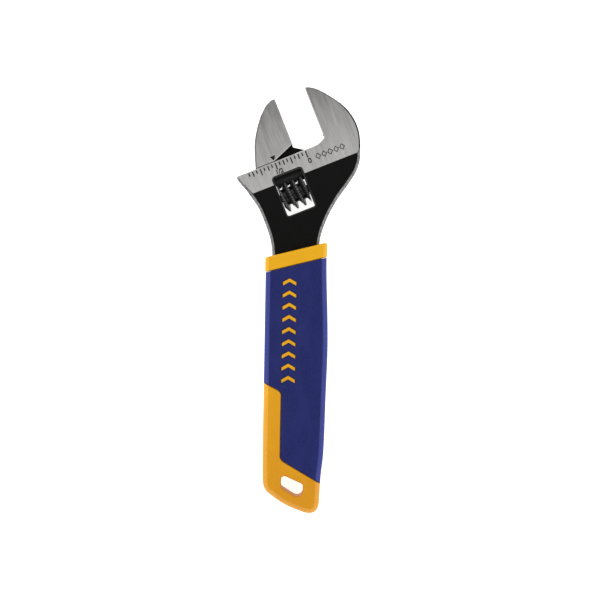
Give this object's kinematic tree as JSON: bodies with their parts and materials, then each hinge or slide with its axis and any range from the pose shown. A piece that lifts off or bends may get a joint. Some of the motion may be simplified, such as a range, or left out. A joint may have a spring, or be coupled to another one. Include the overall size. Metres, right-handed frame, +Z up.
{
  "type": "adjustable wrench",
  "caption": "Adjustable wrench with a worm-driven sliding jaw, an inch scale on its head and a two-colour moulded grip with a slanted hanging slot.",
  "frame": {"origin": "on the surface the wrench lies on, under the middle of its bounding box", "axes": "+Y along the handle towards the jaws, +Z up through the thickness, +X across the handle towards the fixed jaw"},
  "size_m": [0.0482, 0.1666, 0.015],
  "materials": {
    "ground_steel": "brushed",
    "black_steel": "black phosphate",
    "spring_steel": "drawn wire",
    "yellow_plastic": "satin",
    "blue_rubber": "matte"
  },
  "bodies": {
    "body": {"wrench_body": "ground_steel", "worm_pin": "black_steel", "worm_spring": "spring_steel", "grip_base": "yellow_plastic", "grip_cushion": "blue_rubber"},
    "worm": {"worm_knurl": "black_steel"},
    "jaw": {"movable_jaw": "ground_steel"}
  },
  "joints": [
    {"name": "jaw_slide", "type": "slide", "parent": "body", "child": "jaw", "axis": [0.9239, 0.3827, 0], "range_m": [-0.0111, 0.01265]},
    {"name": "worm_spin", "type": "hinge", "parent": "body", "child": "worm", "pos_m": [-0.00146, 0.04169, 0.0075], "axis": [0.9239, 0.3827, 0], "range_deg": [-1402, 1230]}
  ],
  "couplings": [
    {"joint": "worm_spin", "follows": "jaw_slide", "rad_per_m": -1933.3}
  ]
}
